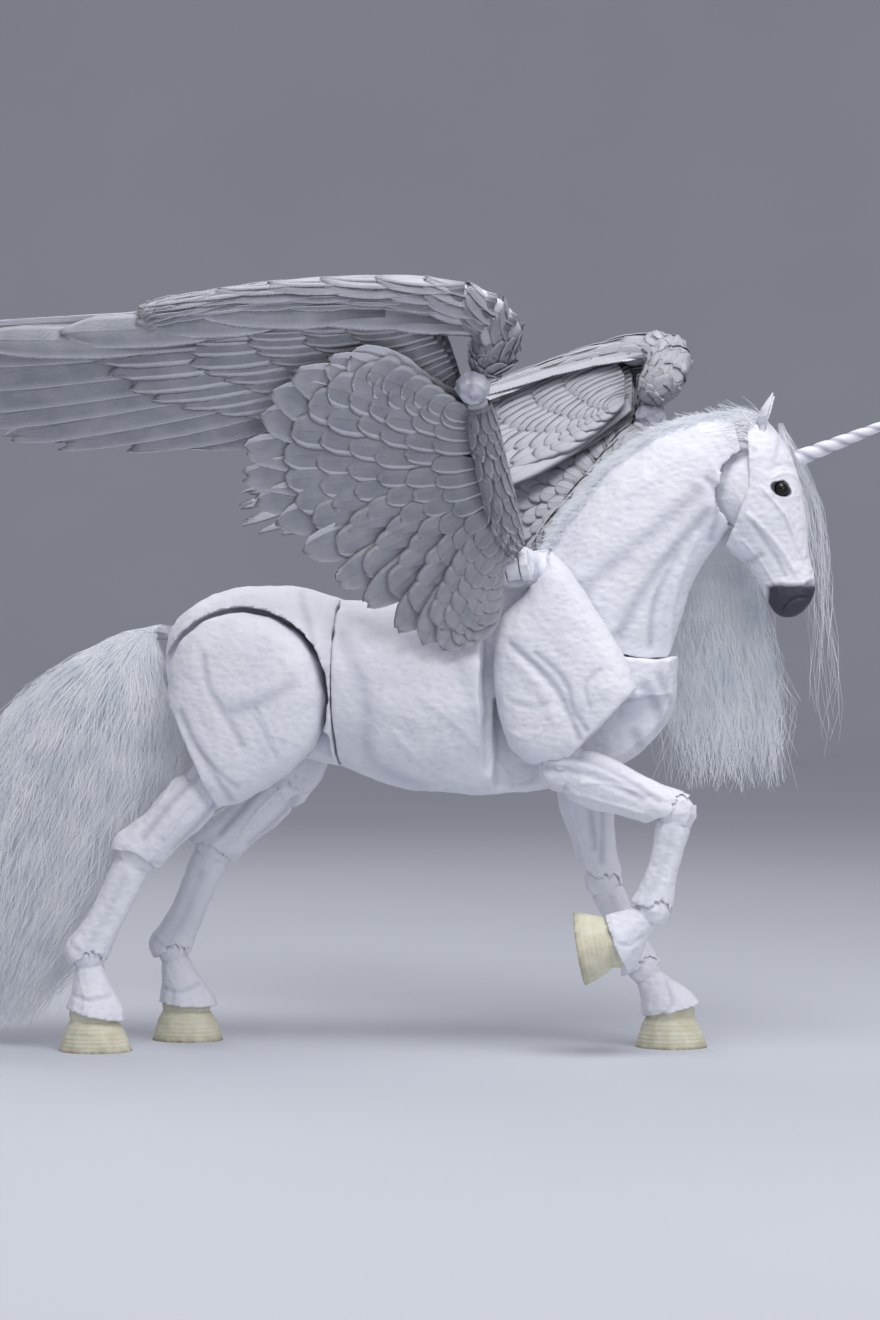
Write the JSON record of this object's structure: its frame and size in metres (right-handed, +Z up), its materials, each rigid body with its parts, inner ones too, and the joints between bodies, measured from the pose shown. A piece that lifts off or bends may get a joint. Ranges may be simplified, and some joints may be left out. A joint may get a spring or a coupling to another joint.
{
  "type": "winged unicorn figurine",
  "caption": "Jointed winged unicorn figurine, one foreleg raised, with feathered wings on pegs and knuckles, a spiral horn and fibre mane, forelock and tail.",
  "frame": {"origin": "on the floor under the middle of the whole figure's bounding box", "axes": "+X towards the head, +Y to the animal's left, +Z up"},
  "size_m": [0.2922, 0.2082, 0.2063],
  "materials": {
    "hide": "matt pearly white paint over a fine short-coat texture",
    "hoof": "matt cream with fine rings and a darker band at the ground",
    "horn": "satin white",
    "hair": "loose white fibre",
    "eye": "glossy black",
    "peg": "matt grey white"
  },
  "bodies": {
    "forehand": {"ribcage": "hide", "right_shoulder_peg": "peg", "left_shoulder_peg": "peg"},
    "rump": {"rump": "hide", "right_hip_peg": "peg", "left_hip_peg": "peg"},
    "neck": {"neck": "hide", "mane": "hair"},
    "poll": {"poll_peg": "peg"},
    "head": {"head": "hide", "horn": "horn", "forelock": "hair", "right_ear": "hide", "left_ear": "hide", "right_eye": "eye", "left_eye": "eye"},
    "tail": {"tail_dock": "peg", "tail_hair": "hair"},
    "right_front_shoulder": {"right_front_shoulder": "hide"},
    "right_front_forearm": {"right_front_forearm": "hide", "right_front_elbow_pin": "peg"},
    "right_front_cannon": {"right_front_cannon": "hide", "right_front_knee_pin": "peg"},
    "right_front_pastern": {"right_front_pastern": "hide", "right_front_fetlock_pin": "peg"},
    "right_front_hoof": {"right_front_hoof": "hoof"},
    "right_hind_haunch": {"right_hind_haunch": "hide"},
    "right_hind_gaskin": {"right_hind_gaskin": "hide", "right_hind_stifle_pin": "peg"},
    "right_hind_cannon": {"right_hind_cannon": "hide", "right_hind_hock_pin": "peg"},
    "right_hind_pastern": {"right_hind_pastern": "hide", "right_hind_fetlock_pin": "peg"},
    "right_hind_hoof": {"right_hind_hoof": "hoof"},
    "left_front_shoulder": {"left_front_shoulder": "hide"},
    "left_front_forearm": {"left_front_forearm": "hide", "left_front_elbow_pin": "peg"},
    "left_front_cannon": {"left_front_cannon": "hide", "left_front_knee_pin": "peg"},
    "left_front_pastern": {"left_front_pastern": "hide", "left_front_fetlock_pin": "peg"},
    "left_front_hoof": {"left_front_hoof": "hoof"},
    "left_hind_haunch": {"left_hind_haunch": "hide"},
    "left_hind_gaskin": {"left_hind_gaskin": "hide", "left_hind_stifle_pin": "peg"},
    "left_hind_cannon": {"left_hind_cannon": "hide", "left_hind_hock_pin": "peg"},
    "left_hind_pastern": {"left_hind_pastern": "hide", "left_hind_fetlock_pin": "peg"},
    "left_hind_hoof": {"left_hind_hoof": "hoof"},
    "right_wing_root": {"right_wing_root_peg": "peg"},
    "right_wing_knuckle": {"right_wing_knuckle": "peg"},
    "right_inner_wing": {"right_inner_wing": "hide", "right_wrist_ball": "peg"},
    "right_outer_wing": {"right_outer_wing": "hide"},
    "left_wing_root": {"left_wing_root_peg": "peg"},
    "left_wing_knuckle": {"left_wing_knuckle": "peg"},
    "left_inner_wing": {"left_inner_wing": "hide", "left_wrist_ball": "peg"},
    "left_outer_wing": {"left_outer_wing": "hide"}
  },
  "joints": [
    {"name": "waist_twist", "type": "hinge", "parent": "forehand", "child": "rump", "pos_m": [-0.02378, -0.02749, 0.104], "axis": [1, 0, 0], "range_deg": [-8, 8]},
    {"name": "neck_pitch", "type": "hinge", "parent": "forehand", "child": "neck", "pos_m": [0.06322, -0.02749, 0.1378], "axis": [0, 1, 0], "range_deg": [-7, 9]},
    {"name": "head_turn", "type": "hinge", "parent": "neck", "child": "poll", "pos_m": [0.09052, -0.02749, 0.1565], "axis": [-0.788, 0, -0.6157], "range_deg": [-10, 10]},
    {"name": "head_nod", "type": "hinge", "parent": "poll", "child": "head", "pos_m": [0.09052, -0.02749, 0.1565], "axis": [0, 1, 0], "range_deg": [-8, 2.5]},
    {"name": "tail_swing", "type": "hinge", "parent": "rump", "child": "tail", "pos_m": [-0.07088, -0.02749, 0.1158], "axis": [0, 0, 1], "range_deg": [-15, 15]},
    {"name": "right_front_shoulder_swing", "type": "hinge", "parent": "forehand", "child": "right_front_shoulder", "pos_m": [0.03912, -0.04189, 0.1129], "axis": [0, -1, 0], "range_deg": [-8, 6]},
    {"name": "right_front_elbow_bend", "type": "hinge", "parent": "right_front_shoulder", "child": "right_front_forearm", "pos_m": [0.03912, -0.04189, 0.0799], "axis": [0, -1, 0], "range_deg": [-72.5, 3.5]},
    {"name": "right_front_knee_bend", "type": "hinge", "parent": "right_front_forearm", "child": "right_front_cannon", "pos_m": [0.07066, -0.04189, 0.06748], "axis": [0, -1, 0], "range_deg": [-2.5, 99.5]},
    {"name": "right_front_fetlock_bend", "type": "hinge", "parent": "right_front_cannon", "child": "right_front_pastern", "pos_m": [0.0645, -0.04189, 0.04078], "axis": [0, -1, 0], "range_deg": [-3.5, 50.5]},
    {"name": "right_front_coronet_tilt", "type": "hinge", "parent": "right_front_pastern", "child": "right_front_hoof", "pos_m": [0.05386, -0.04189, 0.03169], "axis": [0, -1, 0], "range_deg": [-3, 28]},
    {"name": "right_hind_hip_swing", "type": "hinge", "parent": "rump", "child": "right_hind_haunch", "pos_m": [-0.04968, -0.04289, 0.0986], "axis": [0, -1, 0], "range_deg": [-4.7, 43.3]},
    {"name": "right_hind_stifle_bend", "type": "hinge", "parent": "right_hind_haunch", "child": "right_hind_gaskin", "pos_m": [-0.05901, -0.04289, 0.07466], "axis": [0, -1, 0], "range_deg": [-44.3, 7.7]},
    {"name": "right_hind_hock_bend", "type": "hinge", "parent": "right_hind_gaskin", "child": "right_hind_cannon", "pos_m": [-0.07887, -0.04289, 0.05548], "axis": [0, -1, 0], "range_deg": [-11.7, 20.3]},
    {"name": "right_hind_fetlock_bend", "type": "hinge", "parent": "right_hind_cannon", "child": "right_hind_pastern", "pos_m": [-0.09318, -0.04289, 0.02653], "axis": [0, -1, 0], "range_deg": [-13.7, 14.3]},
    {"name": "right_hind_coronet_tilt", "type": "hinge", "parent": "right_hind_pastern", "child": "right_hind_hoof", "pos_m": [-0.09161, -0.04289, 0.01], "axis": [0, -1, 0], "range_deg": [-28.6, 2.4]},
    {"name": "left_front_shoulder_swing", "type": "hinge", "parent": "forehand", "child": "left_front_shoulder", "pos_m": [0.03912, -0.01309, 0.1129], "axis": [0, -1, 0], "range_deg": [-13, 1]},
    {"name": "left_front_elbow_bend", "type": "hinge", "parent": "left_front_shoulder", "child": "left_front_forearm", "pos_m": [0.042, -0.01309, 0.08003], "axis": [0, -1, 0], "range_deg": [-9.5, 66.5]},
    {"name": "left_front_knee_bend", "type": "hinge", "parent": "left_front_forearm", "child": "left_front_cannon", "pos_m": [0.04818, -0.01309, 0.04669], "axis": [0, -1, 0], "range_deg": [-99.18, 2.82]},
    {"name": "left_front_fetlock_bend", "type": "hinge", "parent": "left_front_cannon", "child": "left_front_pastern", "pos_m": [0.06005, -0.01309, 0.022], "axis": [0, -1, 0], "range_deg": [-45.32, 8.68]},
    {"name": "left_front_coronet_tilt", "type": "hinge", "parent": "left_front_pastern", "child": "left_front_hoof", "pos_m": [0.06726, -0.01309, 0.01], "axis": [0, -1, 0], "range_deg": [-3, 28]},
    {"name": "left_hind_hip_swing", "type": "hinge", "parent": "rump", "child": "left_hind_haunch", "pos_m": [-0.04968, -0.01209, 0.0986], "axis": [0, 1, 0], "range_deg": [-5.1, 42.9]},
    {"name": "left_hind_stifle_bend", "type": "hinge", "parent": "left_hind_haunch", "child": "left_hind_gaskin", "pos_m": [-0.04221, -0.01209, 0.07401], "axis": [0, -1, 0], "range_deg": [-3.2, 48.8]},
    {"name": "left_hind_hock_bend", "type": "hinge", "parent": "left_hind_gaskin", "child": "left_hind_cannon", "pos_m": [-0.063, -0.01209, 0.05587], "axis": [0, -1, 0], "range_deg": [-18.02, 13.98]},
    {"name": "left_hind_fetlock_bend", "type": "hinge", "parent": "left_hind_cannon", "child": "left_hind_pastern", "pos_m": [-0.07556, -0.01209, 0.02611], "axis": [0, -1, 0], "range_deg": [-18.88, 9.12]},
    {"name": "left_hind_coronet_tilt", "type": "hinge", "parent": "left_hind_pastern", "child": "left_hind_hoof", "pos_m": [-0.07154, -0.01209, 0.01], "axis": [0, -1, 0], "range_deg": [-20, 11]},
    {"name": "right_wing_swivel", "type": "hinge", "parent": "forehand", "child": "right_wing_root", "pos_m": [0.02642, -0.04249, 0.1344], "axis": [0, 1, 0], "range_deg": [-8, 24]},
    {"name": "right_wing_spread", "type": "hinge", "parent": "right_wing_root", "child": "right_wing_knuckle", "pos_m": [0.02642, -0.04909, 0.1344], "axis": [0.9882, 0, 0.153], "range_deg": [-20, 6]},
    {"name": "right_wing_roll", "type": "hinge", "parent": "right_wing_knuckle", "child": "right_inner_wing", "pos_m": [0.02642, -0.04909, 0.1344], "axis": [-0.1238, -0.5878, 0.7995], "range_deg": [0, 40]},
    {"name": "right_wing_fold", "type": "hinge", "parent": "right_inner_wing", "child": "right_outer_wing", "pos_m": [0.01925, -0.08318, 0.18077], "axis": [-0.0899, 0.809, 0.5809], "range_deg": [-24, 3]},
    {"name": "left_wing_swivel", "type": "hinge", "parent": "forehand", "child": "left_wing_root", "pos_m": [0.02642, -0.01249, 0.1344], "axis": [0, 1, 0], "range_deg": [-30, 6]},
    {"name": "left_wing_spread", "type": "hinge", "parent": "left_wing_root", "child": "left_wing_knuckle", "pos_m": [0.02642, -0.00589, 0.1344], "axis": [-0.7934, 0, 0.6088], "range_deg": [-10, 26]},
    {"name": "left_wing_roll", "type": "hinge", "parent": "left_wing_knuckle", "child": "left_inner_wing", "pos_m": [0.02642, -0.00589, 0.1344], "axis": [-0.5907, -0.2419, -0.7698], "range_deg": [-30, 10]},
    {"name": "left_wing_fold", "type": "hinge", "parent": "left_inner_wing", "child": "left_outer_wing", "pos_m": [0.06068, 0.00815, 0.17905], "axis": [0.5345, 0.5974, -0.5979], "range_deg": [-12, 24]}
  ]
}
